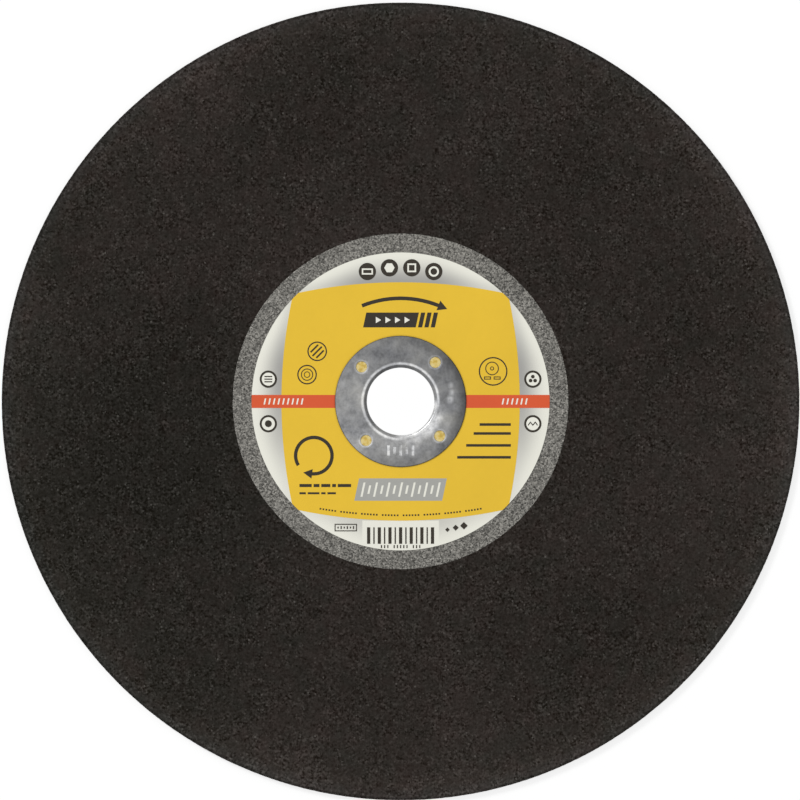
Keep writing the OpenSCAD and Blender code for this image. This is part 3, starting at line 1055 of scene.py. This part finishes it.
def dark_print():
    """Dark motifs: cross-sections on pale ground, drawings in the outlined signs, a dotted line."""
    profiles = profile_shapes()
    shapes = []
    for name, place in zip(("wavy_sheet", "rods", "sheets", "round_bar"), mark_places()[4:]):
        small = [[[(x * 0.9, y * 0.9) for x, y in loop] for loop in shape] for shape in profiles[name]]
        shapes += moved(small, place)
    cx, cy = sign_place(LARGE_SIGN)
    wheel = (cx - 0.4, cy + 1.1)
    shapes.append([round_loop(2.55, wheel, 64), round_loop(2.2, wheel, 64)])
    shapes.append([round_loop(0.75, wheel), round_loop(0.45, wheel)])
    for shoe in ((cx - 2.1, cy - 2.5), (cx + 1.5, cy - 2.5)):
        shapes.append([turned(bar(2.6, 1.15), 0, shoe), turned(bar(1.9, 0.5), 0, shoe)])
    hx, hy = sign_place(SMALL_SIGNS[0])
    for offset in (-1.5, 0.0, 1.5):
        half = math.sqrt(2.5**2 - offset**2)
        shapes.append([turned(bar(0.62, 2 * half, at=(offset, 0.0)), -45, (hx, hy))])
    tx, ty = sign_place(SMALL_SIGNS[1])
    shapes.append([round_loop(2.3, (tx, ty), 48), round_loop(1.95, (tx, ty), 48)])
    shapes.append([round_loop(1.2, (tx, ty), 40), round_loop(0.9, (tx, ty), 40)])
    shapes += small_print()
    inset = FIELD_ARC_R - 2.0
    for i in range(-27, 28):
        if i % 7 == 0:
            continue
        angle = i * 1.12 / inset
        place = (inset * math.sin(angle), FIELD_ARC_X - inset * math.cos(angle))
        shapes.append([turned(bar(0.62, 0.62), math.degrees(angle), place)])
    return shapes


def small_print():
    """Plain ticks and dashes at the scale of the small print, with no letters in them."""
    shapes = []
    for i in range(13):
        if i % 6 != 3:
            shapes.append([bar(0.42, 1.15, at=(-7.2 + 1.2 * i, -54.55))])
    shapes.append([bar(8.4, 2.8, at=(-20.6, -47.4)), bar(7.7, 2.1, at=(-20.6, -47.4))])
    for i in range(6):
        shapes.append([bar(0.45, 1.1 if i % 2 else 0.7, at=(-23.5 + 1.16 * i, -47.4))])
    for i, wide in enumerate((1.2, 1.6, 2.0)):
        place = (17.6 + 3.1 * i, -48.2 + 0.75 * i)
        shapes.append([turned(bar(wide, wide), 45, place)])
    rows = ((1.15, (4.6, 2.2, 3.4, 1.4, 5.0)), (0.75, (2.4, 4.4, 1.6, 3.2)))
    for row, (height, widths) in enumerate(rows):
        x = -38.0
        for wide in widths:
            shapes.append([bar(wide, height, at=(x + wide / 2, -31.6 - 2.9 * row))])
            x += wide + 0.7
    return shapes


def aim(thing, target):
    """Turns a lamp or camera towards a point."""
    direction = Vector(target) - thing.location
    thing.rotation_euler = direction.to_track_quat("-Z", "Y").to_euler()


def settings():
    """The scene's settings of the wheel."""
    return bpy.context.scene.cut_off_wheel


class WheelSettings(bpy.types.PropertyGroup):
    """All that a user would change on the wheel."""

    colours: PointerProperty(type=WheelColours)
    surface: PointerProperty(type=WheelSurface)
    studio: PointerProperty(type=WheelStudio)


class GritDisc(bpy.types.Operator):
    """Build the bonded grit disc with its broken rim"""

    bl_idname = "cutoff_wheel.grit_disc"
    bl_label = "Grit Disc"

    def execute(self, context):
        s = settings()
        build_grit_disc(s.surface, bonded_grit(s.colours, s.surface))
        return {"FINISHED"}


class GreyDisc(bpy.types.Operator):
    """Build the grey hub disc that shows as a ring round the label"""

    bl_idname = "cutoff_wheel.grey_disc"
    bl_label = "Grey Hub Disc"

    def execute(self, context):
        s = settings()
        build_grey_disc(s.surface, grey_grit(s.colours))
        return {"FINISHED"}


class PrintedLabel(bpy.types.Operator):
    """Give the paper and its ink fields their finishes, and print the small motifs"""

    bl_idname = "cutoff_wheel.printed_label"
    bl_label = "Printed Label"

    def execute(self, context):
        c = settings().colours
        paper = label_paper(c)
        finishes = {
            "paper_label": paper,
            "yellow_print": printed_ink("yellow_ink", c.yellow, seed=1.0),
            "red_print": printed_ink("red_ink", c.red, seed=2.0),
            "grey_print": printed_ink("grey_ink", c.grey, seed=3.0),
            "black_print": printed_ink("black_ink", c.black, fade=0.15, seed=4.0),
        }
        for name, material in finishes.items():
            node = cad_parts[name]
            for slot in node.material_slots:
                slot.material = material
        white = printed_ink("bare_paper", c.paper, sheen=0.6, seed=5.0)
        build_plates("pale_motifs", light_print(), INK_Z, INK_TOP + 0.015, white)
        dark = finishes["black_print"]
        build_plates("dark_motifs", dark_print(), INK_Z, INK_TOP + 0.03, dark)
        return {"FINISHED"}


class SteelRing(bpy.types.Operator):
    """Build the pressed steel ring that lines the bore"""

    bl_idname = "cutoff_wheel.steel_ring"
    bl_label = "Steel Ring"

    def execute(self, context):
        s = settings()
        build_steel_ring(s.surface, ring_steel(s.colours))
        return {"FINISHED"}


class Stage(bpy.types.Operator):
    """Set up the white floor, the soft studio light and the camera above the wheel"""

    bl_idname = "cutoff_wheel.stage"
    bl_label = "Stage"

    def execute(self, context):
        s = settings().studio
        floor_shape = Shell()
        radii = (40000.0, 1500.0, 300.0, WHEEL_R + 0.3)
        floor_shape.chain([floor_shape.ring(240, r, -0.02) for r in radii])
        mesh = bpy.data.meshes.new("floor")
        mesh.from_pydata([tuple(c * MM for c in p) for p in floor_shape.points], [], floor_shape.faces)
        floor = bpy.data.objects.new("floor", mesh)
        context.scene.collection.objects.link(floor)
        mesh.materials.append(self.floor_finish())

        lamp = bpy.data.lights.new("key_lamp", "AREA")
        lamp.shape = "DISK"
        lamp.size = KEY_SIZE
        lamp.energy = s.key_power
        key = bpy.data.objects.new("key_lamp", lamp)
        key.location = KEY_PLACE
        aim(key, (0, 0, 0))
        context.scene.collection.objects.link(key)

        self.light_world(context, s.sky_level)
        self.place_camera(context, s)
        context.scene.view_settings.view_transform = "Standard"
        return {"FINISHED"}

    def floor_finish(self):
        """White for the eye and for reflections, but with the wheel's shadow on it near the wheel."""
        material, g = new_graph("floor_finish")
        near = g.ramp(g.radius(g.place()), 0.2, 0.6, 0.7, 1.0)
        path = g.node("ShaderNodeLightPath").socket.node
        seen = Wire(g, path.outputs["Is Camera Ray"])
        seen = seen + Wire(g, path.outputs["Is Glossy Ray"])
        seen = seen + Wire(g, path.outputs["Is Transmission Ray"])
        matt = g.node("ShaderNodeBsdfDiffuse", {}, {"Color": (0.93, 0.93, 0.93)})
        white = g.node("ShaderNodeEmission", {}, {"Color": (1.0, 1.0, 1.0), "Strength": 1.04})
        shader = g.node("ShaderNodeMixShader", {}, {0: g.clamp(seen) * near, 1: matt, 2: white})
        g.node("ShaderNodeOutputMaterial", {}, {"Surface": shader})
        return material

    def light_world(self, context, sky_level):
        """White at the horizon, then a dark gap, a ring of bright panels, and a darker top."""
        world = bpy.data.worlds.new("studio")
        context.scene.world = world
        world.use_nodes = True
        g = Graph(world.node_tree)
        direction = g.node("ShaderNodeTexCoord", output="Generated")
        _, _, height = g.parts(direction)
        levels = (*SKY_LEVELS, (SKY_TOP, sky_level))
        stops = [(place, (level,) * 3) for place, level in levels]
        sky = g.node("ShaderNodeValToRGB", {"stops": stops}, {0: height})
        light = g.node("ShaderNodeBackground", {}, {"Color": sky, "Strength": 1.0})
        g.node("ShaderNodeOutputWorld", {}, {"Surface": light})

    def place_camera(self, context, s):
        """Straight above the wheel, a little off its middle, as the photograph has it."""
        data = bpy.data.cameras.new("camera")
        data.sensor_width = 36
        data.lens = data.sensor_width * s.camera_height / s.frame_width
        data.clip_start = 0.05
        data.clip_end = 100
        camera = bpy.data.objects.new("camera", data)
        camera.location = (CAMERA_X, CAMERA_Y, s.camera_height + WHEEL_T * MM)
        context.scene.collection.objects.link(camera)
        context.scene.camera = camera


class WheelPanel(bpy.types.Panel):
    """Lists the wheel's settings and the buttons that build it"""

    bl_idname = "VIEW3D_PT_cutoff_wheel"
    bl_label = "Cut-off Wheel"
    bl_space_type = "VIEW_3D"
    bl_region_type = "UI"
    bl_category = "Wheel"

    def draw(self, context):
        s = settings()
        for title, group in (("Colours", s.colours), ("Surface", s.surface), ("Studio", s.studio)):
            box = self.layout.box()
            box.label(text=title)
            for name in group.__annotations__:
                box.prop(group, name)
        for operator in OPERATORS:
            self.layout.operator(operator.bl_idname)


OPERATORS = (GritDisc, GreyDisc, PrintedLabel, SteelRing, Stage)
CLASSES = (WheelColours, WheelSurface, WheelStudio, WheelSettings, *OPERATORS, WheelPanel)


def register():
    for cls in CLASSES:
        bpy.utils.register_class(cls)
    bpy.types.Scene.cut_off_wheel = PointerProperty(type=WheelSettings)


def unregister():
    del bpy.types.Scene.cut_off_wheel
    for cls in reversed(CLASSES):
        bpy.utils.unregister_class(cls)


def main():
    register()
    bpy.ops.cutoff_wheel.grit_disc()
    bpy.ops.cutoff_wheel.grey_disc()
    bpy.ops.cutoff_wheel.printed_label()
    bpy.ops.cutoff_wheel.steel_ring()
    bpy.ops.cutoff_wheel.stage()


if __name__ == "__main__":
    main()
